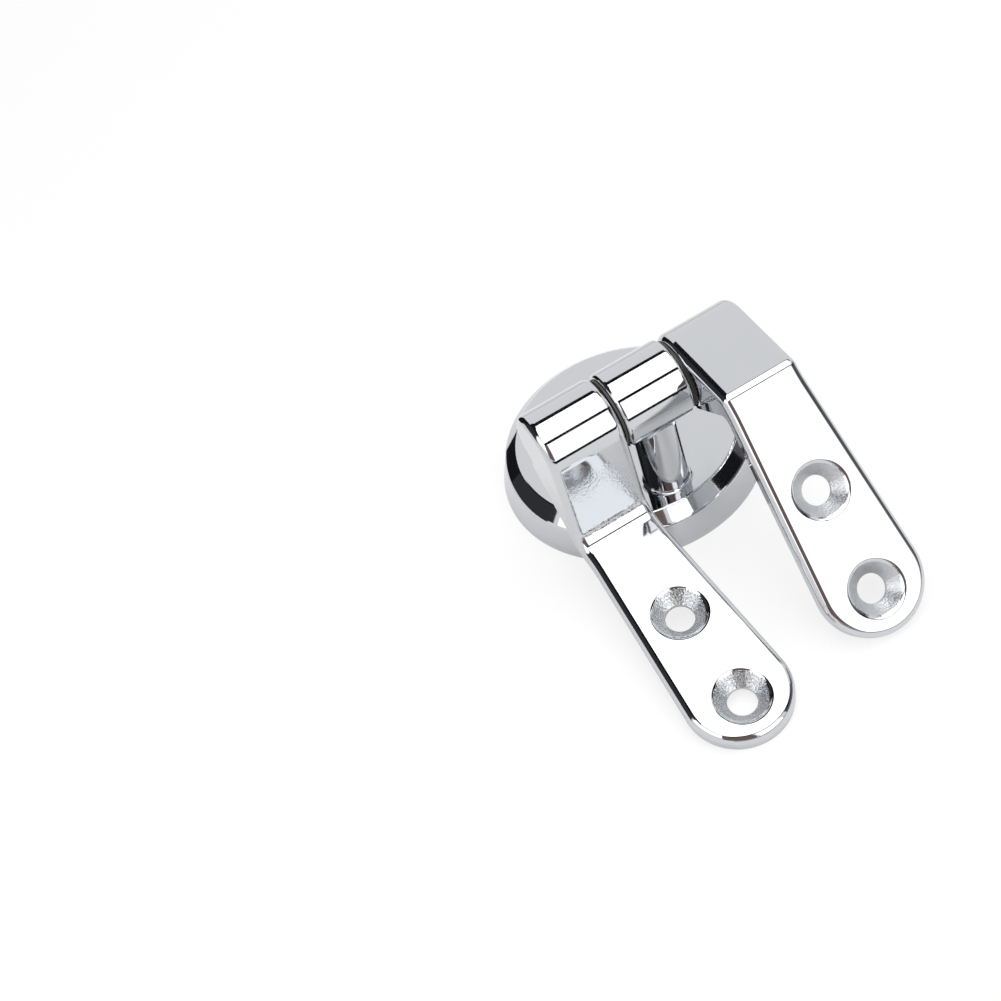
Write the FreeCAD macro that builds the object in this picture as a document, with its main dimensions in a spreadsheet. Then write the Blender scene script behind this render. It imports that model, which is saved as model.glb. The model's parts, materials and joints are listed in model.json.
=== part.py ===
# Chrome-plated toilet seat hinge with two cranked arms.
# Frame: millimetres, +Z up, origin at the middle of the base's underside, pin axis along X.
# The arms hang forward, towards -Y, with their tips on the surface that the base stands on.
import FreeCAD
import Part
import math
import os
import Sketcher
from FreeCAD import Placement, Rotation, Vector

SIZES = {
    # round base
    "base_radius": 25.0,
    "base_height": 7.45,
    "shoulder_inset": 1.5,
    "shoulder_drop": 2.15,
    "top_inset": 3.95,
    "rim_width": 2.4,
    "ceiling_thickness": 2.2,
    "rim_round": 0.7,
    "shoulder_round": 1.0,
    "boss_radius": 6.0,
    "thread_radius": 2.5,
    "thread_cap": 2.0,
    "land_radius": 5.6,
    "land_thickness": 4.0,
    # pillar and its knuckle
    "pillar_margin": 11.6,
    "pin_height": 28.7,
    "post_advance": 1.3,
    "foot_flare": 0.7,
    "foot_edge": 0.2,
    "post_low_radius": 4.1,
    "post_top_radius": 4.0,
    "knuckle_width": 13.1,
    "hub_radius": 7.15,
    "knuckle_round": 0.8,
    "neck_round": 1.2,
    "spigot_radius": 3.4,
    "spigot_flat": 2.6,
    "spigot_length": 1.6,
    "spigot_clearance": 0.05,
    # screw that holds the pillar
    "screw_radius": 2.0,
    "screw_hole_radius": 2.3,
    "screw_head_radius": 3.8,
    "screw_head_height": 2.4,
    "screw_head_round": 0.7,
    "screw_engagement": 8.0,
    "screw_tip_gap": 0.6,
    "screw_tip_bevel": 0.4,
    "recess_length": 4.4,
    "recess_width": 1.0,
    "recess_depth": 1.4,
    # pin and bushes
    "pin_radius": 3.0,
    "pin_bevel": 0.4,
    "running_clearance": 0.05,
    "side_clearance": 0.08,
    "bush_wall": 1.2,
    "bush_length": 11.0,
    "flange_radius": 6.4,
    "flange_thickness": 0.4,
    "bead_place": 8.0,
    "bead_width": 0.8,
    "bead_height": 0.25,
    "groove_width": 1.0,
    "bore_end_gap": 1.0,
    # arms
    "hub_width": 14.6,
    "web_inset": 0.5,
    "web_round": 3.0,
    "plate_thickness": 3.1,
    "plate_reach": 38.5,
    "plate_end_radius": 9.6,
    "flare_round": 40.0,
    "trim_margin": 1.0,
    "edge_round": 1.5,
    "hole_outset": 1.5,
    "hole_spacing": 19.0,
    "hole_radius": 2.6,
    "sink_radius": 5.0,
    "sink_round": 1.1,
    # lid arm: its plate lies below the pin axis
    "lid_level": -15.8,
    "lid_slope_angle": 77.5,
    "lid_bend_round": 3.4,
    "lid_heel": -0.8,
    "lid_heel_round": 1.5,
    # seat arm: its plate lies above the pin axis
    "seat_level": 16.9,
    "seat_slope_angle": -44.0,
    "seat_bend_round": 2.0,
    "seat_heel": 2.7,
    "seat_heel_round": 2.0,
}

# sizes that follow from others
SHOULDER_RADIUS = "(sizes.base_radius - sizes.shoulder_inset)"
SHOULDER_HEIGHT = "(sizes.base_height - sizes.shoulder_drop)"
TOP_RADIUS = "(sizes.base_radius - sizes.top_inset)"
CAVITY_HEIGHT = "(sizes.base_height - sizes.ceiling_thickness)"
LAND_HEIGHT = "(sizes.base_height - sizes.land_thickness)"
SPIGOT_FOOT = "(sizes.base_height - sizes.spigot_length)"
FOOT_TOP = "(sizes.base_height + sizes.foot_edge)"
FOOT_RADIUS = "(sizes.post_low_radius + sizes.foot_flare)"
PIN_OFFSET = "(sizes.base_radius - sizes.pillar_margin)"
POST_OFFSET = "(sizes.base_radius - sizes.pillar_margin + sizes.post_advance)"
BUSH_INSIDE = "(sizes.pin_radius + sizes.running_clearance)"
BUSH_OUTSIDE = f"({BUSH_INSIDE} + sizes.bush_wall)"
BUSH_START = "(sizes.knuckle_width / 2 + sizes.side_clearance)"

doc = FreeCAD.newDocument("toilet_seat_hinge")
sheet = doc.addObject("Spreadsheet::Sheet", "sizes")
for row, (alias, value) in enumerate(SIZES.items(), start=1):
    sheet.set(f"A{row}", alias)
    sheet.set(f"B{row}", str(value))
    sheet.setAlias(f"B{row}", alias)
doc.recompute()


def value_of(expression):
    """The number that an expression of the sheet's sizes gives."""
    value = sheet.evalExpression(expression)
    return float(getattr(value, "Value", value))


def new_body(label):
    body = doc.addObject("PartDesign::Body", label)
    body.Label = label
    return body


def new_sketch(body, name, role, lift=None):
    """A sketch on one of the body's own planes, lifted off it by an expression."""
    plane = next(part for part in body.Origin.OriginFeatures if part.Role == role)
    sketch = body.newObject("Sketcher::SketchObject", name)
    sketch.AttachmentSupport = (plane, [""])
    sketch.MapMode = "FlatFace"
    if lift:
        sketch.AttachmentOffset = Placement(Vector(0, 0, value_of(lift)), Rotation())
        sketch.setExpression("AttachmentOffset.Base.z", lift)
    return sketch


def dimension(sketch, expression, kind, *places):
    """A driving dimension whose value comes from an expression."""
    number = sketch.addConstraint(Sketcher.Constraint(kind, *places, value_of(expression)))
    sketch.setExpression(f"Constraints[{number}]", expression)


def pin_point(sketch, geometry, position, x, y):
    """Places a point of the sketch at two expressions, measured from the sketch's origin."""
    dimension(sketch, x, "DistanceX", -1, 1, geometry, position)
    dimension(sketch, y, "DistanceY", -1, 1, geometry, position)


def outline(sketch, corners):
    """A closed outline of straight lines through corners given as pairs of expressions."""
    points = [Vector(value_of(x), value_of(y), 0) for x, y in corners]
    first = sketch.GeometryCount
    count = len(points)
    for i in range(count):
        sketch.addGeometry(Part.LineSegment(points[i], points[(i + 1) % count]))
    for i in range(count):
        sketch.addConstraint(Sketcher.Constraint("Coincident", first + i, 2, first + (i + 1) % count, 1))
    for i, (x, y) in enumerate(corners):
        pin_point(sketch, first + i, 1, x, y)


def circle(sketch, x, y, radius):
    centre = Vector(value_of(x), value_of(y), 0)
    number = sketch.addGeometry(Part.Circle(centre, Vector(0, 0, 1), value_of(radius)))
    pin_point(sketch, number, 3, x, y)
    dimension(sketch, radius, "Radius", number)


def revolve(body, name, sketch, axis, kind="Revolution"):
    feature = body.newObject(f"PartDesign::{kind}", name)
    feature.Profile = sketch
    feature.ReferenceAxis = (sketch, [axis])
    feature.Angle = 360
    doc.recompute()
    return feature


def extrude(body, name, sketch, kind, length=None, side="One side", reverse=False):
    """A pad or pocket of a stated length, or a pocket through everything if none is given."""
    feature = body.newObject(f"PartDesign::{kind}", name)
    feature.Profile = sketch
    feature.SideType = side
    feature.Reversed = reverse
    if length:
        feature.setExpression("Length", length)
    else:
        feature.Type = "ThroughAll"
    doc.recompute()
    return feature


def round_edges(body, name, radius, chosen):
    """Rounds those edges of the body so far for which chosen(edge) is true."""
    base = body.Tip
    edges = [f"Edge{i}" for i, edge in enumerate(base.Shape.Edges, start=1) if chosen(edge)]
    feature = body.newObject("PartDesign::Fillet", name)
    feature.Base = (base, edges)
    feature.setExpression("Radius", radius)
    doc.recompute()
    return feature


def middle(edge):
    return edge.valueAt((edge.FirstParameter + edge.LastParameter) / 2)


def near(a, b):
    return abs(a - b) < 1e-4


def make_base():
    """Hollow round casting with a central threaded boss and a land under the pillar."""
    body = new_body("base")
    dish = new_sketch(body, "base_section", "XZ_Plane")
    outline(dish, [
        ("0", "sizes.base_height"),
        (TOP_RADIUS, "sizes.base_height"),
        (SHOULDER_RADIUS, SHOULDER_HEIGHT),
        ("sizes.base_radius", "0"),
        ("sizes.base_radius - sizes.rim_width", "0"),
        (f"{SHOULDER_RADIUS} - sizes.rim_width", CAVITY_HEIGHT),
        ("0", CAVITY_HEIGHT),
    ])
    revolve(body, "base_dish", dish, "V_Axis")

    boss = new_sketch(body, "boss_outline", "XY_Plane")
    circle(boss, "0", "0", "sizes.boss_radius")
    extrude(body, "boss", boss, "Pad", CAVITY_HEIGHT)
    land = new_sketch(body, "land_outline", "XY_Plane", LAND_HEIGHT)
    circle(land, "0", f"-{POST_OFFSET}", "sizes.land_radius")
    extrude(body, "land", land, "Pad", "sizes.land_thickness - sizes.ceiling_thickness")

    shoulder_height = value_of(SHOULDER_HEIGHT)
    base_height = value_of("sizes.base_height")
    round_edges(body, "shoulder_edge", "sizes.shoulder_round",
                lambda edge: near(middle(edge).z, shoulder_height))
    round_edges(body, "rim_edge", "sizes.rim_round",
                lambda edge: near(middle(edge).z, base_height))

    thread = new_sketch(body, "thread_outline", "XY_Plane")
    circle(thread, "0", "0", "sizes.thread_radius")
    extrude(body, "bolt_thread", thread, "Pocket", "sizes.base_height - sizes.thread_cap", reverse=True)
    socket = new_sketch(body, "socket_outline", "XY_Plane", "sizes.base_height")
    flatted_circle(socket, f"-{POST_OFFSET}", "sizes.spigot_radius + sizes.spigot_clearance",
                   "sizes.spigot_flat + sizes.spigot_clearance")
    extrude(body, "pillar_socket", socket, "Pocket", "sizes.spigot_length")
    passage = new_sketch(body, "screw_passage_outline", "XY_Plane", "sizes.base_height")
    circle(passage, "0", f"-{POST_OFFSET}", "sizes.screw_hole_radius")
    extrude(body, "screw_passage", passage, "Pocket")
    return body


def flatted_circle(sketch, y, radius, flat):
    """A circle on the Y axis with a flat towards -Y, which keeps the pillar from turning."""
    centre = Vector(0, value_of(y), 0)
    r = value_of(radius)
    half_angle = math.asin(value_of(flat) / r)
    arc = Part.ArcOfCircle(Part.Circle(centre, Vector(0, 0, 1), r), -half_angle, math.pi + half_angle)
    curve = sketch.addGeometry(arc)
    chord = sketch.addGeometry(Part.LineSegment(arc.EndPoint, arc.StartPoint))
    sketch.addConstraint(Sketcher.Constraint("Coincident", curve, 2, chord, 1))
    sketch.addConstraint(Sketcher.Constraint("Coincident", chord, 2, curve, 1))
    sketch.addConstraint(Sketcher.Constraint("Horizontal", chord))
    pin_point(sketch, curve, 3, "0", y)
    dimension(sketch, radius, "Radius", curve)
    dimension(sketch, f"{y} - ({flat})", "DistanceY", -1, 1, chord, 1)


def make_pillar():
    """Post a little in front of the pin, with a keyed spigot below and the middle knuckle across its top."""
    body = new_body("pillar")
    section = new_sketch(body, "post_section", "XZ_Plane")
    outline(section, [
        ("0", SPIGOT_FOOT),
        ("sizes.spigot_radius", SPIGOT_FOOT),
        ("sizes.spigot_radius", "sizes.base_height"),
        (FOOT_RADIUS, "sizes.base_height"),
        (FOOT_RADIUS, FOOT_TOP),
        ("sizes.post_low_radius", FOOT_TOP),
        ("sizes.post_top_radius", "sizes.pin_height"),
        ("0", "sizes.pin_height"),
    ])
    revolve(body, "post", section, "V_Axis")
    barrel = new_sketch(body, "knuckle_outline", "YZ_Plane")
    circle(barrel, "sizes.post_advance", "sizes.pin_height", "sizes.hub_radius")
    extrude(body, "knuckle", barrel, "Pad", "sizes.knuckle_width", side="Symmetric")

    pin_height = value_of("sizes.pin_height")
    hub_radius = value_of("sizes.hub_radius")
    half_width = value_of("sizes.knuckle_width / 2")
    advance = value_of("sizes.post_advance")

    def on_barrel(edge):
        point = middle(edge)
        return near(math.hypot(point.y - advance, point.z - pin_height), hub_radius)

    def at_end(edge):
        return on_barrel(edge) and near(abs(middle(edge).x), half_width)

    def at_neck(edge):
        return on_barrel(edge) and not at_end(edge) and edge.Curve.TypeId != "Part::GeomLine"

    foot_top = value_of(FOOT_TOP)
    low_radius = value_of("sizes.post_low_radius")

    def at_flare(edge):
        point = middle(edge)
        return near(point.z, foot_top) and near(math.hypot(point.x, point.y), low_radius)

    round_edges(body, "foot_flare", "sizes.foot_flare * 0.85", at_flare)
    round_edges(body, "neck", "sizes.neck_round", at_neck)
    round_edges(body, "knuckle_ends", "sizes.knuckle_round", at_end)

    bore = new_sketch(body, "pin_bore_outline", "YZ_Plane")
    circle(bore, "sizes.post_advance", "sizes.pin_height", "sizes.pin_radius")
    extrude(body, "pin_bore", bore, "Pocket", side="Symmetric")
    tapping = new_sketch(body, "screw_hole_outline", "XY_Plane", SPIGOT_FOOT)
    circle(tapping, "0", "0", "sizes.screw_radius")
    extrude(body, "screw_hole", tapping, "Pocket", "sizes.screw_engagement", reverse=True)
    key = new_sketch(body, "key_outline", "XY_Plane", SPIGOT_FOOT)
    outline(key, [
        ("-sizes.spigot_radius", "-sizes.spigot_flat"),
        ("sizes.spigot_radius", "-sizes.spigot_flat"),
        ("sizes.spigot_radius", "-sizes.spigot_radius"),
        ("-sizes.spigot_radius", "-sizes.spigot_radius"),
    ])
    extrude(body, "key_flat", key, "Pocket", "sizes.spigot_length", reverse=True)
    body.Placement = Placement(Vector(0, -value_of(POST_OFFSET), 0), Rotation())
    return body


def make_pillar_screw():
    """Pan-head screw with a cross recess, driven up into the pillar from the hollow underside."""
    body = new_body("pillar_screw")
    head = f"({LAND_HEIGHT} - sizes.screw_head_height)"
    tip = f"({SPIGOT_FOOT} + sizes.screw_engagement - sizes.screw_tip_gap)"
    section = new_sketch(body, "screw_section", "XZ_Plane")
    outline(section, [
        ("0", head),
        ("sizes.screw_head_radius - sizes.screw_head_round", head),
        ("sizes.screw_head_radius", f"{head} + sizes.screw_head_round"),
        ("sizes.screw_head_radius", LAND_HEIGHT),
        ("sizes.screw_radius", LAND_HEIGHT),
        ("sizes.screw_radius", f"{tip} - sizes.screw_tip_bevel"),
        ("sizes.screw_radius - sizes.screw_tip_bevel", tip),
        ("0", tip),
    ])
    revolve(body, "screw", section, "V_Axis")
    for name, long_side, short_side in (("recess_across", "x", "y"), ("recess_along", "y", "x")):
        half = {long_side: "sizes.recess_length / 2", short_side: "sizes.recess_width / 2"}
        slot = new_sketch(body, f"{name}_outline", "XY_Plane", head)
        outline(slot, [
            (f"-{half['x']}", f"-{half['y']}"),
            (half["x"], f"-{half['y']}"),
            (half["x"], half["y"]),
            (f"-{half['x']}", half["y"]),
        ])
        extrude(body, name, slot, "Pocket", "sizes.recess_depth", reverse=True)
    body.Placement = Placement(Vector(0, -value_of(POST_OFFSET), 0), Rotation())
    return body


def pin_place(x):
    """A point of the pin's axis."""
    return Vector(value_of(x), -value_of(PIN_OFFSET), value_of("sizes.pin_height"))


def make_hinge_pin():
    """Steel pin, pressed into the knuckle, with a snap groove and a bevel at each end."""
    body = new_body("hinge_pin")
    end = f"({BUSH_START} + sizes.bush_length)"
    groove = f"({BUSH_START} + sizes.bead_place)"
    neck = "sizes.pin_radius - sizes.bead_height"
    half = [
        (f"{groove} - sizes.groove_width / 2", "sizes.pin_radius"),
        (f"{groove} - sizes.groove_width / 2", neck),
        (f"{groove} + sizes.groove_width / 2", neck),
        (f"{groove} + sizes.groove_width / 2", "sizes.pin_radius"),
        (f"{end} - sizes.pin_bevel", "sizes.pin_radius"),
        (end, "sizes.pin_radius - sizes.pin_bevel"),
        (end, "0"),
    ]
    section = new_sketch(body, "pin_section", "XY_Plane")
    outline(section, half + [(f"-({x})", y) for x, y in reversed(half)])
    revolve(body, "pin", section, "H_Axis")
    body.Placement = Placement(pin_place("0"), Rotation())
    return body


def make_bush(label, side):
    """Flanged nylon bush with a bead inside that snaps into the pin's groove."""
    body = new_body(label)
    bead = f"{BUSH_INSIDE} - sizes.bead_height"
    section = new_sketch(body, f"{label}_section", "XY_Plane")
    outline(section, [
        ("0", BUSH_INSIDE),
        ("0", "sizes.flange_radius"),
        ("sizes.flange_thickness", "sizes.flange_radius"),
        ("sizes.flange_thickness", BUSH_OUTSIDE),
        ("sizes.bush_length", BUSH_OUTSIDE),
        ("sizes.bush_length", BUSH_INSIDE),
        ("sizes.bead_place + sizes.bead_width / 2", BUSH_INSIDE),
        ("sizes.bead_place + sizes.bead_width / 4", bead),
        ("sizes.bead_place - sizes.bead_width / 4", bead),
        ("sizes.bead_place - sizes.bead_width / 2", BUSH_INSIDE),
    ])
    revolve(body, f"{label}_sleeve", section, "H_Axis")
    turn = Rotation(Vector(0, 0, 1), 0 if side > 0 else 180)
    body.Placement = Placement(pin_place(f"{side} * {BUSH_START}"), turn)
    return body


def make_arm(kind, side):
    """Cranked arm: hub on the pin, wedge-shaped web and a flared plate with two countersunk holes.

    It is drawn with its plate level and the pin axis at the origin, and then turned down
    until its tip rests on the surface that the base stands on.
    """
    label = f"{kind}_arm"
    body = new_body(label)
    level = f"sizes.{kind}_level"
    slope = f"sizes.{kind}_slope_angle"
    under = f"({level} - sizes.plate_thickness)"
    bend = f"((sizes.hub_radius - {level} * cos({slope})) / sin({slope}))"
    heel = f"({bend} + sizes.{kind}_heel)"
    tip = f"({bend} + sizes.plate_reach + sizes.plate_end_radius)"

    end = f"({tip} + sizes.trim_margin)"
    heel_distance = f"hypot({heel}; {under})"
    foot = (f"(atan2({under}; {heel}) - acos((sizes.hub_radius - sizes.web_inset) / {heel_distance})"
            " + acos(1 - sizes.web_inset / sizes.hub_radius))")

    side_view = new_sketch(body, f"{label}_side_view", "YZ_Plane")
    draw_side_view(side_view, slope, level, under, bend, end, foot)
    extrude(body, f"{label}_blank", side_view, "Pad", "2 * (sizes.plate_end_radius + sizes.trim_margin)",
            side="Symmetric")
    plan = new_sketch(body, f"{label}_plan", "XY_Plane")
    draw_plan(plan, bend, f"sizes.{kind}_bend_round", tip)
    extrude(body, f"{label}_trim", plan, "Pocket", side="Symmetric")

    bend_y = -value_of(bend)
    heel_y = -value_of(heel)
    tip_y = -value_of(tip)
    level_z = value_of(level)
    under_z = value_of(under)
    hub_radius = value_of("sizes.hub_radius")
    side_x = value_of("sizes.hub_width / 2")
    bend_round = value_of(f"sizes.{kind}_bend_round")
    angle = math.radians(value_of(slope))

    def across_at(y, z):
        return lambda edge: (near(middle(edge).x, 0) and near(middle(edge).y, y) and near(middle(edge).z, z))

    def on_outer_rim(edge):
        point = middle(edge)
        beside = abs(point.x) > side_x or near(abs(point.x), side_x)
        if not beside and not near(point.y, tip_y):
            return False
        on_hub = near(math.hypot(point.y, point.z), hub_radius)
        on_slope = near(-point.y * math.sin(angle) + point.z * math.cos(angle), hub_radius)
        on_bend = math.hypot(point.y - bend_y, point.z - level_z) < bend_round / 2
        return on_hub or on_slope or on_bend or near(point.z, level_z)

    round_edges(body, f"{label}_bend", f"sizes.{kind}_bend_round", across_at(bend_y, level_z))
    round_edges(body, f"{label}_rim", "sizes.edge_round", on_outer_rim)
    web = new_sketch(body, f"{label}_web_outline", "YZ_Plane")
    outline(web, web_waste(under, heel, end, foot))
    extrude(body, f"{label}_web", web, "Pocket", side="Symmetric")
    round_edges(body, f"{label}_heel", f"sizes.{kind}_heel_round", across_at(heel_y, under_z))
    foot_y = -value_of(f"sizes.hub_radius * cos({foot})")
    foot_z = value_of(f"sizes.hub_radius * sin({foot})")
    round_edges(body, f"{label}_web_root", "sizes.web_round", across_at(foot_y, foot_z))

    holes = new_sketch(body, f"{label}_holes_plan", "XY_Plane", level)
    outer_hole = f"({bend} + sizes.plate_reach + sizes.hole_outset)"
    circle(holes, "0", f"-{outer_hole}", "sizes.hole_radius")
    circle(holes, "0", f"-({outer_hole} - sizes.hole_spacing)", "sizes.hole_radius")
    extrude(body, f"{label}_holes", holes, "Pocket", "sizes.plate_thickness")
    sink_edges(body, label, level_z)

    inner_face = f"{-side} * sizes.hub_width / 2"
    bore = new_sketch(body, f"{label}_bore_outline", "YZ_Plane", inner_face)
    circle(bore, "0", "0", BUSH_OUTSIDE)
    extrude(body, f"{label}_bore", bore, "Pocket",
            "sizes.bush_length - sizes.flange_thickness + sizes.bore_end_gap", reverse=side > 0)

    tip_distance = math.hypot(tip_y, under_z)
    droop = math.atan2(under_z, -tip_y) + math.asin(value_of("sizes.pin_height") / tip_distance)
    place = pin_place(f"{side} * ({BUSH_START} + sizes.flange_thickness + sizes.hub_width / 2)")
    body.Placement = Placement(place, Rotation(Vector(1, 0, 0), math.degrees(droop)))
    return body


def draw_side_view(sketch, slope, level, under, bend, end, foot):
    """Blank of an arm seen along the pin, forward towards -x: hub, sloping face, plate, solid below.

    The lower side runs straight out from the hub where the web will later end.
    """
    hub_radius = value_of("sizes.hub_radius")
    angle = math.radians(value_of(slope))
    foot_angle = math.radians(value_of(foot))
    foot_way = Vector(-math.cos(foot_angle), math.sin(foot_angle), 0)
    corners = [
        Vector(-hub_radius * math.sin(angle), hub_radius * math.cos(angle), 0),
        Vector(-value_of(bend), value_of(level), 0),
        Vector(-value_of(end), value_of(level), 0),
        Vector(-value_of(end), value_of(under), 0),
        foot_way * hub_radius * 3,
        foot_way * hub_radius,
    ]
    for here, there in zip(corners, corners[1:]):
        sketch.addGeometry(Part.LineSegment(here, there))
    hub = Part.Circle(Vector(0, 0, 0), Vector(0, 0, 1), hub_radius)
    foot_turn = math.atan2(corners[5].y, corners[5].x)
    slope_turn = math.atan2(corners[0].y, corners[0].x)
    arc = sketch.addGeometry(Part.ArcOfCircle(hub, foot_turn, slope_turn))

    for line in range(4):
        sketch.addConstraint(Sketcher.Constraint("Coincident", line, 2, line + 1, 1))
    sketch.addConstraint(Sketcher.Constraint("Coincident", 4, 2, arc, 1))
    sketch.addConstraint(Sketcher.Constraint("Tangent", arc, 2, 0, 1))
    sketch.addConstraint(Sketcher.Constraint("Coincident", arc, 3, -1, 1))
    sketch.addConstraint(Sketcher.Constraint("PointOnObject", -1, 1, 4))
    dimension(sketch, "sizes.hub_radius", "Radius", arc)
    pin_point(sketch, 1, 1, f"-{bend}", level)
    pin_point(sketch, 2, 1, f"-{end}", level)
    pin_point(sketch, 3, 1, f"-{end}", under)
    pin_point(sketch, 4, 1, f"-3 * sizes.hub_radius * cos({foot})", f"3 * sizes.hub_radius * sin({foot})")


def web_waste(under, heel, end, foot):
    """Corners of what is cut away below the plate and the web, from the hub round and back to it."""
    aside = "2 * sizes.trim_margin"
    outward = "3 * sizes.hub_radius"
    start = (f"-sizes.hub_radius * cos({foot})", f"sizes.hub_radius * sin({foot})")
    beside = (f"{start[0]} - {aside} * sin({foot})", f"{start[1]} - {aside} * cos({foot})")
    return [
        start,
        (f"-{heel}", under),
        (f"-{end}", under),
        (f"-{end}", f"{under} - {aside}"),
        (f"{beside[0]} - {outward} * cos({foot})", f"{beside[1]} + {outward} * sin({foot})"),
        beside,
    ]


def draw_plan(sketch, bend, bend_round, tip):
    """Waste around the arm seen from above: a frame outside, the flared outline of the arm inside."""
    margin = "sizes.trim_margin"
    wide = f"(sizes.plate_end_radius + 2 * {margin})"
    back = f"(sizes.hub_radius + {margin})"
    outline(sketch, [
        (f"-{wide}", f"{back} + {margin}"),
        (f"-{wide}", f"-({tip} + 2 * {margin})"),
        (wide, f"-({tip} + 2 * {margin})"),
        (wide, f"{back} + {margin}"),
    ])

    w = value_of("sizes.hub_width / 2")
    flare_round = value_of("sizes.flare_round")
    end_radius = value_of("sizes.plate_end_radius")
    start_y = -value_of(f"{bend} + {bend_round}")
    centre_y = -value_of(f"{bend} + sizes.plate_reach")
    reach = start_y - centre_y
    swing = w + flare_round
    flare = math.atan2(reach, swing) - math.acos((end_radius + flare_round) / math.hypot(reach, swing))
    back_y = value_of(back)

    def mirrored(sign):
        """Side line, blend arc and flare line of one side, from the back to the end arc."""
        rear = Vector(sign * w, back_y, 0)
        start = Vector(sign * w, start_y, 0)
        turn = start + Vector(sign * (1 - math.cos(flare)), -math.sin(flare), 0) * flare_round
        touch = Vector(sign * end_radius * math.cos(flare), centre_y + end_radius * math.sin(flare), 0)
        side = sketch.addGeometry(Part.LineSegment(rear, start))
        ring = Part.Circle(Vector(sign * (w + flare_round), start_y, 0), Vector(0, 0, 1), flare_round)
        if sign > 0:
            arc = sketch.addGeometry(Part.ArcOfCircle(ring, math.pi, math.pi + flare))
            joins = (1, 2)
        else:
            arc = sketch.addGeometry(Part.ArcOfCircle(ring, -flare, 0))
            joins = (2, 1)
        line = sketch.addGeometry(Part.LineSegment(turn, touch))
        sketch.addConstraint(Sketcher.Constraint("Tangent", side, 2, arc, joins[0]))
        sketch.addConstraint(Sketcher.Constraint("Tangent", arc, joins[1], line, 1))
        dimension(sketch, "sizes.flare_round", "Radius", arc)
        pin_point(sketch, side, 1, f"{sign} * sizes.hub_width / 2", back)
        pin_point(sketch, side, 2, f"{sign} * sizes.hub_width / 2", f"-({bend} + {bend_round})")
        return side, line

    right_side, right_line = mirrored(1)
    left_side, left_line = mirrored(-1)
    end = Part.Circle(Vector(0, centre_y, 0), Vector(0, 0, 1), end_radius)
    arc = sketch.addGeometry(Part.ArcOfCircle(end, math.pi - flare, 2 * math.pi + flare))
    sketch.addConstraint(Sketcher.Constraint("Tangent", left_line, 2, arc, 1))
    sketch.addConstraint(Sketcher.Constraint("Tangent", right_line, 2, arc, 2))
    pin_point(sketch, arc, 3, "0", f"-({bend} + sizes.plate_reach)")
    dimension(sketch, "sizes.plate_end_radius", "Radius", arc)
    back_line = sketch.addGeometry(Part.LineSegment(Vector(-w, back_y, 0), Vector(w, back_y, 0)))
    sketch.addConstraint(Sketcher.Constraint("Coincident", back_line, 1, left_side, 1))
    sketch.addConstraint(Sketcher.Constraint("Coincident", back_line, 2, right_side, 1))


def sink_edges(body, label, level_z):
    """Countersinks the screw holes on the plate's face and rounds the rims a little."""
    def hole_rim(radius):
        return lambda edge: (near(middle(edge).z, level_z) and edge.Curve.TypeId == "Part::GeomCircle"
                             and near(edge.Curve.Radius, radius))

    hole_radius = value_of("sizes.hole_radius")
    base = body.Tip
    chosen = hole_rim(hole_radius)
    edges = [f"Edge{i}" for i, edge in enumerate(base.Shape.Edges, start=1) if chosen(edge)]
    sink = body.newObject("PartDesign::Chamfer", f"{label}_countersinks")
    sink.Base = (base, edges)
    sink.setExpression("Size", "sizes.sink_radius - sizes.hole_radius")
    doc.recompute()
    round_edges(body, f"{label}_countersink_rims", "sizes.sink_round",
                hole_rim(value_of("sizes.sink_radius")))


bodies = [
    make_base(),
    make_pillar(),
    make_pillar_screw(),
    make_hinge_pin(),
    make_bush("lid_bush", -1),
    make_bush("seat_bush", 1),
    make_arm("lid", -1),
    make_arm("seat", 1),
]
doc.recompute()
for item in doc.Objects:
    if "Invalid" in item.State or "Error" in item.State:
        raise RuntimeError(f"{item.Label} did not build: {item.State}")
os.makedirs("parts", exist_ok=True)
for body in bodies:
    if body.Shape.isNull() or not body.Shape.isValid() or len(body.Shape.Solids) != 1:
        raise RuntimeError(f"{body.Label} is not one sound solid")
    body.Shape.exportStep(f"parts/{body.Label}.step")
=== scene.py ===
import bpy
import json
from mathutils import Matrix, Vector


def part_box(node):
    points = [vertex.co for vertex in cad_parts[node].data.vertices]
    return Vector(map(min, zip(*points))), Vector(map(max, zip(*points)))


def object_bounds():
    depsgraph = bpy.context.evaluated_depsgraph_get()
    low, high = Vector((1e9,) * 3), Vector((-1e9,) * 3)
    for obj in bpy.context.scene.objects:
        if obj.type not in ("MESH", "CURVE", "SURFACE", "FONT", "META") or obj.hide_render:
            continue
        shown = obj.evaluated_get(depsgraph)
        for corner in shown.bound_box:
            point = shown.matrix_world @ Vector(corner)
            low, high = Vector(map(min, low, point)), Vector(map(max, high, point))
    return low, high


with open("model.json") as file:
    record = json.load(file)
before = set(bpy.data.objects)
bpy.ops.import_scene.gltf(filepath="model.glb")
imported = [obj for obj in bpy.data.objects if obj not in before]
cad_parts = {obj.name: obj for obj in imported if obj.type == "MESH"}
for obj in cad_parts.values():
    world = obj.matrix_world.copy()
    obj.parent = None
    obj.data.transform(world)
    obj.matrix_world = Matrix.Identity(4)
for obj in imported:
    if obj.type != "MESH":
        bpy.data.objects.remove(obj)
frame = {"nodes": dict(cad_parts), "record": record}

cad_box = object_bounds()


# Base: a hollow round foot, die cast in zinc, polished and chrome plated like the pillar and the arms.
# Its underside is only plated, not polished, so the as-cast skin shows there.
# It stands on the pan's rim and is held by one bolt from below.
MM = 0.001
NOISE_SPAN = {"From Min": 0.3, "From Max": 0.7}  # where nearly all values of a noise texture lie


def linear(code):
    """The linear colour of an sRGB hex value such as #C3C4C6."""
    parts = [int(code[i:i + 2], 16) / 255 for i in (1, 3, 5)]
    return [c / 12.92 if c <= 0.04045 else ((c + 0.055) / 1.055) ** 2.4 for c in parts] + [1.0]


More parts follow.
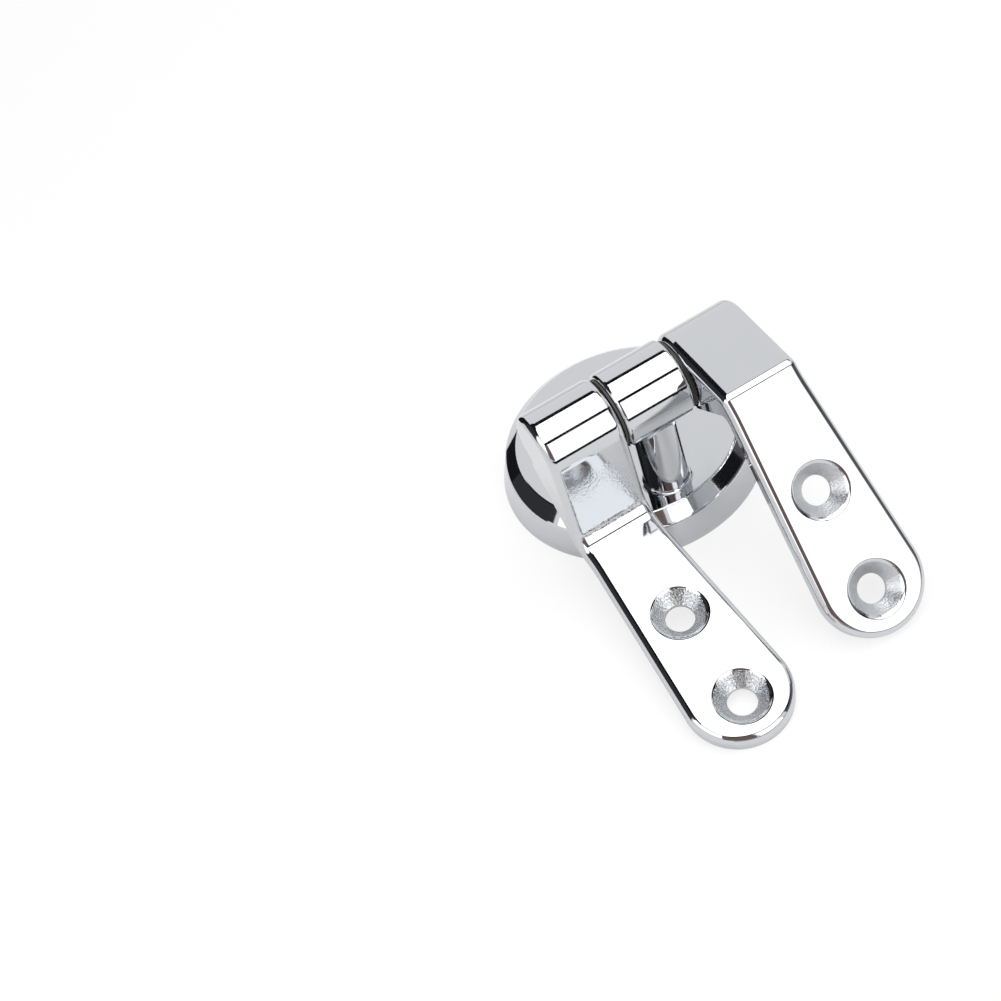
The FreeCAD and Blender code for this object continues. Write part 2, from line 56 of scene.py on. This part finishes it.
def add_node(tree, kind, inputs=None, **settings):
    """Adds a node with its settings; an input is set to a value, or linked if it is given a socket."""
    node = tree.nodes.new(kind)
    for name, value in settings.items():
        setattr(node, name, value)
    for key, value in (inputs or {}).items():
        if isinstance(value, bpy.types.NodeSocket):
            tree.links.new(value, node.inputs[key])
        else:
            node.inputs[key].default_value = value
    return node


def new_material(name):
    """An empty node material, its tree and its output node."""
    material = bpy.data.materials.new(name)
    material.use_nodes = True
    tree = material.node_tree
    tree.nodes.clear()
    return material, tree, add_node(tree, "ShaderNodeOutputMaterial")


def chrome_plate(name, as_cast=None, grain_height=0.16, cast_roughness=(0.16, 0.36)):
    """Bright chromium over polished zinc: a mirror of slightly bluish grey, with faint polishing waves.

    as_cast(tree, place) gives a mask of where the casting was left unpolished under the plating:
    there the mirror breaks up into a frosted, sparkling grey. A half-polished place, with a low mask,
    keeps the grain but hardly gets dull.
    """
    polish_roughness = (0.035, 0.075)
    haze_size = 9.0
    wave_size = 5.0
    wave_height = 0.0012
    grain_size = 0.42
    material, tree, output = new_material(name)
    place = add_node(tree, "ShaderNodeTexCoord").outputs["Object"]
    haze = add_node(tree, "ShaderNodeTexNoise", {
        "Vector": place, "Scale": 1 / (haze_size * MM), "Detail": 3.0})
    rough = add_node(tree, "ShaderNodeMapRange", {
        "Value": haze.outputs["Fac"], **NOISE_SPAN,
        "To Min": polish_roughness[0], "To Max": polish_roughness[1]}).outputs["Result"]
    wave = add_node(tree, "ShaderNodeTexNoise", {
        "Vector": place, "Scale": 1 / (wave_size * MM), "Detail": 1.0})
    relief = add_node(tree, "ShaderNodeBump", {
        "Height": wave.outputs["Fac"], "Strength": 1.0, "Distance": wave_height * MM}).outputs["Normal"]
    if as_cast:
        mask = as_cast(tree, place)
        grain = add_node(tree, "ShaderNodeTexNoise", {
            "Vector": place, "Scale": 1 / (grain_size * MM), "Detail": 2.0})
        frost = add_node(tree, "ShaderNodeMapRange", {
            "Value": grain.outputs["Fac"], **NOISE_SPAN,
            "To Min": cast_roughness[0], "To Max": cast_roughness[1]}).outputs["Result"]
        dull = add_node(tree, "ShaderNodeMath", {0: mask, 1: mask}, operation="MULTIPLY").outputs["Value"]
        rough = add_node(tree, "ShaderNodeMix", {"Factor": dull, "A": rough, "B": frost}).outputs["Result"]
        height = add_node(tree, "ShaderNodeMath", {0: grain.outputs["Fac"], 1: mask}, operation="MULTIPLY")
        relief = add_node(tree, "ShaderNodeBump", {
            "Height": height.outputs["Value"], "Strength": 1.0, "Distance": grain_height * MM,
            "Normal": relief}).outputs["Normal"]
    shader = add_node(tree, "ShaderNodeBsdfPrincipled", {
        "Base Color": linear("#CBCDD0"), "Metallic": 1.0, "Roughness": rough, "Normal": relief})
    tree.links.new(shader.outputs["BSDF"], output.inputs["Surface"])
    return material


def give(node, material):
    """Puts a material on a CAD node, in place of the plain one."""
    frame["nodes"][node].material_slots[0].material = material


def underside(tree, place):
    """Mask of the base's hollow: all that lies inside its wall and below its ceiling."""
    low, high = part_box("base")
    rim_width = 2.4 * MM
    ceiling_thickness = 2.2 * MM
    edge = 0.1 * MM
    flat = add_node(tree, "ShaderNodeVectorMath", {0: place, 1: (1.0, 1.0, 0.0)}, operation="MULTIPLY")
    spread = add_node(tree, "ShaderNodeVectorMath", {0: flat.outputs["Vector"]}, operation="LENGTH")
    level = add_node(tree, "ShaderNodeSeparateXYZ", {"Vector": place}).outputs["Z"]
    inside = add_node(tree, "ShaderNodeMath", {
        0: spread.outputs["Value"], 1: high[0] - rim_width + edge}, operation="LESS_THAN")
    below = add_node(tree, "ShaderNodeMath", {
        0: level, 1: high[2] - ceiling_thickness + edge}, operation="LESS_THAN")
    return add_node(tree, "ShaderNodeMath", {
        0: inside.outputs["Value"], 1: below.outputs["Value"]}, operation="MULTIPLY").outputs["Value"]


give("base", chrome_plate("chrome_on_zinc_base", underside))


# Pillar: a conical post with the hinge's middle knuckle across its top, one zinc casting, chrome plated.
# A flatted spigot keys it in the base's top, and a screw from the hollow underside pulls it down.
give("pillar", chrome_plate("chrome_on_zinc_pillar"))


# Pillar screw and hinge pin: bright drawn steel, turned to length, with the fine lines of drawing along them.
# The screw goes up into the pillar; the pin is pressed through the knuckle and carries both arms.
def drawn_steel(name, along):
    """Bright drawn steel: grey metal with fine lines along the bar, soft in its reflections."""
    line_width = 0.12
    line_length = 6.0
    line_height = 0.003
    roughness = (0.22, 0.4)
    material, tree, output = new_material(name)
    place = add_node(tree, "ShaderNodeTexCoord").outputs["Object"]
    scale = [1 / (line_length if axis == along else line_width) / MM for axis in "xyz"]
    stretched = add_node(tree, "ShaderNodeMapping", {"Vector": place, "Scale": scale})
    lines = add_node(tree, "ShaderNodeTexNoise", {
        "Vector": stretched.outputs["Vector"], "Scale": 1.0, "Detail": 2.0}).outputs["Fac"]
    rough = add_node(tree, "ShaderNodeMapRange", {
        "Value": lines, **NOISE_SPAN, "To Min": roughness[0], "To Max": roughness[1]})
    relief = add_node(tree, "ShaderNodeBump", {
        "Height": lines, "Strength": 1.0, "Distance": line_height * MM})
    shader = add_node(tree, "ShaderNodeBsdfPrincipled", {
        "Base Color": linear("#B4B2AE"), "Metallic": 1.0, "Roughness": rough.outputs["Result"],
        "Normal": relief.outputs["Normal"]})
    tree.links.new(shader.outputs["BSDF"], output.inputs["Surface"])
    return material


give("pillar_screw", drawn_steel("drawn_steel_screw", "z"))
give("hinge_pin", drawn_steel("drawn_steel_pin", "x"))


# Bushes: flanged sleeves moulded in black nylon, one pressed into each arm's blind bore.
# Their flanges keep the arms clear of the knuckle, and a bead snaps into the pin's groove.
def black_nylon():
    """Moulded nylon: near black, satin, with the fine grain of the mould."""
    grain_size = 0.25
    grain_height = 0.006
    roughness = (0.42, 0.58)
    material, tree, output = new_material("black_nylon")
    place = add_node(tree, "ShaderNodeTexCoord").outputs["Object"]
    grain = add_node(tree, "ShaderNodeTexNoise", {
        "Vector": place, "Scale": 1 / (grain_size * MM), "Detail": 2.0}).outputs["Fac"]
    rough = add_node(tree, "ShaderNodeMapRange", {
        "Value": grain, **NOISE_SPAN, "To Min": roughness[0], "To Max": roughness[1]})
    relief = add_node(tree, "ShaderNodeBump", {
        "Height": grain, "Strength": 1.0, "Distance": grain_height * MM})
    shader = add_node(tree, "ShaderNodeBsdfPrincipled", {
        "Base Color": linear("#3A3634"), "Roughness": rough.outputs["Result"], "IOR": 1.53,
        "Normal": relief.outputs["Normal"]})
    tree.links.new(shader.outputs["BSDF"], output.inputs["Surface"])
    return material


nylon = black_nylon()
give("lid_bush", nylon)
give("seat_bush", nylon)


# Arms: two cranked zinc castings, polished and chrome plated, one for the lid and one for the seat.
# Their countersinks are left as cast, so they look frosted inside a narrow bright rim;
# the seat arm's are the smoother ones.
mounts = {mount["name"]: mount for mount in frame["record"]["mounts"]}


def countersinks_of(arm):
    """A function that masks the two countersunk holes of that arm, from the axes of its screws."""
    frosted_radius = 4.6 * MM
    edge = 0.12 * MM

    def mask(tree, place):
        reach = []
        for which in ("inner", "outer"):
            mount = mounts[f"{arm}_screw_{which}"]
            offset = add_node(tree, "ShaderNodeVectorMath", {
                0: place, 1: mount["pos_m"]}, operation="SUBTRACT")
            across = add_node(tree, "ShaderNodeVectorMath", {
                0: offset.outputs["Vector"], 1: mount["axis"]}, operation="CROSS_PRODUCT")
            reach.append(add_node(tree, "ShaderNodeVectorMath", {
                0: across.outputs["Vector"]}, operation="LENGTH").outputs["Value"])
        nearest = add_node(tree, "ShaderNodeMath", {0: reach[0], 1: reach[1]}, operation="MINIMUM")
        near = add_node(tree, "ShaderNodeMapRange", {
            "Value": nearest.outputs["Value"], "From Min": frosted_radius + edge,
            "From Max": frosted_radius - edge})
        level = add_node(tree, "ShaderNodeVectorMath", {
            0: offset.outputs["Vector"], 1: mount["axis"]}, operation="DOT_PRODUCT")
        back_face = -mount["dims"]["length_mm"] * MM / 2
        above = add_node(tree, "ShaderNodeMath", {
            0: level.outputs["Value"], 1: back_face + edge}, operation="GREATER_THAN")
        return add_node(tree, "ShaderNodeMath", {
            0: near.outputs["Result"], 1: above.outputs["Value"]}, operation="MULTIPLY").outputs["Value"]

    return mask


def lid_arm_marks(tree, place):
    """The lid arm's countersinks, and its steep face above the bend, where polishing wheels hardly get."""
    bend_level = 11.3 * MM
    bend_height = 1.2 * MM
    dull_height = 16.0 * MM
    fade_start = 0.7 * dull_height
    face_front = -19.6 * MM
    grain_left = 0.32
    sinks = countersinks_of("lid")(tree, place)
    axes = add_node(tree, "ShaderNodeSeparateXYZ", {"Vector": place})
    fade = add_node(tree, "ShaderNodeMapRange", {
        "Value": axes.outputs["Z"], "From Min": bend_level + dull_height,
        "From Max": bend_level + fade_start, "To Max": grain_left}, interpolation_type="SMOOTHSTEP")
    raised = add_node(tree, "ShaderNodeMath", {
        0: axes.outputs["Z"], 1: bend_level + bend_height}, operation="GREATER_THAN")
    ahead = add_node(tree, "ShaderNodeMath", {0: axes.outputs["Y"], 1: face_front}, operation="LESS_THAN")
    on_face = add_node(tree, "ShaderNodeMath", {
        0: raised.outputs["Value"], 1: ahead.outputs["Value"]}, operation="MULTIPLY")
    corner = add_node(tree, "ShaderNodeMath", {
        0: fade.outputs["Result"], 1: on_face.outputs["Value"]}, operation="MULTIPLY")
    return add_node(tree, "ShaderNodeMath", {
        0: sinks, 1: corner.outputs["Value"]}, operation="MAXIMUM").outputs["Value"]


give("lid_arm", chrome_plate(
    "chrome_on_zinc_lid_arm", lid_arm_marks, grain_height=0.15, cast_roughness=(0.18, 0.38)))
give("seat_arm", chrome_plate(
    "chrome_on_zinc_seat_arm", countersinks_of("seat"), grain_height=0.07, cast_roughness=(0.28, 0.44)))


# Stage: a white floor inside a small light tent, as used for bright metal. Its places are in metres.
# Lit panels overhead, in front and at the left are parted by dark gaps, and dark cards stand around,
# so that the mirror faces get their white bands and black lines.
def floor_white():
    """White card, white to the camera and in the chrome; the chrome sees more of the shadow on it."""
    camera_glow = 0.76
    mirror_glow = 0.2
    card_white = 0.76
    camera_white = 0.25
    material, tree, output = new_material("white_card_floor")
    path = add_node(tree, "ShaderNodeLightPath")
    seen = path.outputs["Is Camera Ray"]
    mirrored = add_node(tree, "ShaderNodeMath", {
        0: path.outputs["Is Glossy Ray"], 1: path.outputs["Is Transmission Ray"]}, operation="MAXIMUM")
    direct = add_node(tree, "ShaderNodeMapRange", {"Value": seen, "To Min": 0.0, "To Max": camera_glow})
    glow = add_node(tree, "ShaderNodeMath", {
        0: mirrored.outputs["Value"], 1: mirror_glow, 2: direct.outputs["Result"]}, operation="MULTIPLY_ADD")
    white = add_node(tree, "ShaderNodeMapRange", {
        "Value": seen, "To Min": card_white, "To Max": camera_white}).outputs["Result"]
    shade = add_node(tree, "ShaderNodeCombineColor", {"Red": white, "Green": white, "Blue": white})
    diffuse = add_node(tree, "ShaderNodeBsdfDiffuse", {"Color": shade.outputs["Color"]})
    light = add_node(tree, "ShaderNodeEmission", {"Strength": glow.outputs["Value"]})
    both = add_node(tree, "ShaderNodeAddShader", {0: diffuse.outputs["BSDF"], 1: light.outputs["Emission"]})
    tree.links.new(both.outputs["Shader"], output.inputs["Surface"])
    return material


def panel_light(name, colour, strength=1.0):
    """An evenly lit panel, or a card that shows its colour as it is."""
    material, tree, output = new_material(name)
    light = add_node(tree, "ShaderNodeEmission", {"Color": linear(colour), "Strength": strength})
    tree.links.new(light.outputs["Emission"], output.inputs["Surface"])
    return material


def stage_sheet(name, corners, material, seen=False):
    """A flat four-cornered sheet of the stage; the camera looks past it unless it is to be seen."""
    bpy.ops.object.select_all(action="DESELECT")
    bpy.ops.mesh.primitive_plane_add(size=1)
    sheet = bpy.context.object
    sheet.name = name
    for vertex, corner in zip(sheet.data.vertices, (corners[0], corners[1], corners[3], corners[2])):
        vertex.co = corner
    sheet.data.materials.append(material)
    sheet.visible_camera = seen
    return sheet


def standing_card(name, foot, other_foot, levels, material):
    """An upright card between two points of the floor plan, with its low and high edge at each end."""
    (low, high), (other_low, other_high) = levels
    corners = [(*foot, low), (*other_foot, other_low), (*other_foot, other_high), (*foot, high)]
    return stage_sheet(name, corners, material)


def level_card(name, corners, level, material, seen=False):
    """A card that lies or hangs level, with these corners in plan."""
    return stage_sheet(name, [(*corner, level) for corner in corners], material, seen)


floor_gap = 0.02 * MM
half = 3.0
floor_plan = [(-half, -half), (half, -half), (half, half), (-half, half)]
level_card("floor", floor_plan, cad_box[0][2] - floor_gap, floor_white(), seen=True)

overhead_light = panel_light("overhead_light", "#FFFFFF", 2.5)
front_light = panel_light("front_light", "#FFFFFF", 2.1)
black = panel_light("black_card", "#1C1C1F")
charcoal = panel_light("charcoal_card", "#3A3A3E")
brown = panel_light("brown_card", "#7C6C66")
grey = panel_light("grey_card", "#6C6C70")

# Overhead, all at one level: the lit panel, its slanted wing at the left, and the black gaps around them.
top = 0.75
lit_front = -0.39
lit_back = 0.375
lit_right = 0.66
wing_left = -0.36
gap_front = -0.52
gap_left = -0.9
gap_right = 0.7
front_left = -0.5
front_right = 0.9
level_card("overhead_panel", [
    (0.0, lit_front), (lit_right, lit_front), (lit_right, lit_back), (0.0, lit_back)], top, overhead_light)
level_card("overhead_wing", [
    (wing_left, lit_front), (0.0, lit_front), (0.0, lit_back), (wing_left, 0.0)], top, overhead_light)
level_card("gap_at_left", [
    (gap_left, 0.0), (wing_left, 0.0), (0.0, lit_back), (gap_left, lit_back)], top, black)
level_card("gap_behind", [
    (gap_left, lit_back), (gap_right, lit_back), (gap_right, 0.42), (gap_left, 0.93)], top, black)
level_card("gap_in_front", [
    (front_left, gap_front), (front_right, gap_front), (front_right, lit_front), (front_left, lit_front)],
    top, black)

# In front: the lit panel over a black skirt and a black strip on the floor, and a brown card beside it.
front = -0.62
skirt_top = 0.07
panel_top = 0.88
strip_back = -0.45
on_floor = 0.001
standing_card("front_panel", (-0.02, front), (0.46, front), [(skirt_top, panel_top)] * 2, front_light)
standing_card("front_skirt", (front_left, front), (front_right, front), [(0.0, skirt_top)] * 2, black)
front_strip = level_card("front_strip", [
    (front_left, front), (front_right, front), (front_right, strip_back), (front_left, strip_back)],
    on_floor, black)
standing_card("front_left_card", (-0.70, -0.55), (-0.06, -0.63), [(0.1, 1.0)] * 2, brown)

# At the sides and behind. The two cards on the floor are only mirrored and leave the floor as it is lit.
left_corner = (-0.42, 0.56)
back_corner = (-0.11, 0.86)
right_front = (0.56, -0.55)
standing_card("left_card", (-0.62, 0.14), left_corner, [(0.0, 0.74), (0.0, 0.92)], charcoal)
standing_card("left_panel", (-0.62, 0.10), (-0.50, -0.40), [(0.22, 0.74)] * 2, front_light)
standing_card("back_right_card", (0.50, 0.42), (0.60, 0.17), [(0.40, 0.74)] * 2, black)
standing_card("back_left_card", left_corner, back_corner, [(0.0, 0.80), (0.0, 0.06)], black)
standing_card("right_card", right_front, (0.56, 0.09), [(0.0, 0.33), (0.0, 0.24)], grey)
standing_card("right_upper_card", right_front, (0.56, -0.10), [(0.33, 0.64), (0.24, 0.37)], black)
left_strip = level_card("left_floor_card", [
    (-0.022, 0.044), back_corner, left_corner, (-0.06, 0.065)], on_floor, black)
for card in (front_strip, left_strip):
    card.visible_diffuse = False
    card.visible_shadow = False

# The white room around: white where it is seen or mirrored, and half as bright where it only gives light.
room_light = 0.5
room_seen = 1.0
world = bpy.data.worlds.new("white_studio")
bpy.context.scene.world = world
world.use_nodes = True
room = world.node_tree
room.nodes.clear()
path = add_node(room, "ShaderNodeLightPath")
mirror = add_node(room, "ShaderNodeMath", {
    0: path.outputs["Is Camera Ray"], 1: path.outputs["Is Glossy Ray"]}, operation="MAXIMUM")
clear = add_node(room, "ShaderNodeMath", {
    0: mirror.outputs["Value"], 1: path.outputs["Is Transmission Ray"]}, operation="MAXIMUM")
strength = add_node(room, "ShaderNodeMapRange", {
    "Value": clear.outputs["Value"], "To Min": room_light, "To Max": room_seen})
background = add_node(room, "ShaderNodeBackground", {
    "Color": linear("#FFFFFF"), "Strength": strength.outputs["Result"]})
add_node(room, "ShaderNodeOutputWorld", {"Surface": background.outputs["Background"]})


# Camera: above and in front, a little to the left, rolled so that the hinge lies askew in the frame.
# Its place, turn and lens come from fitting the base's circles, the barrels and the plates to the photograph.
camera_place = Vector((-80.280, -231.540, 269.268)) * MM
right = Vector((0.85436859, -0.46293068, -0.23611333))
up = Vector((0.49733241, 0.59660587, 0.62985864))
back = right.cross(up)
camera_data = bpy.data.cameras.new("camera")
camera_data.sensor_width = 36.0
camera_data.lens = 69.26
camera = bpy.data.objects.new("camera", camera_data)
bpy.context.scene.collection.objects.link(camera)
camera.matrix_world = Matrix.Translation(camera_place) @ Matrix((right, up, back)).transposed().to_4x4()
bpy.context.scene.camera = camera
bpy.context.scene.view_settings.view_transform = "Standard"
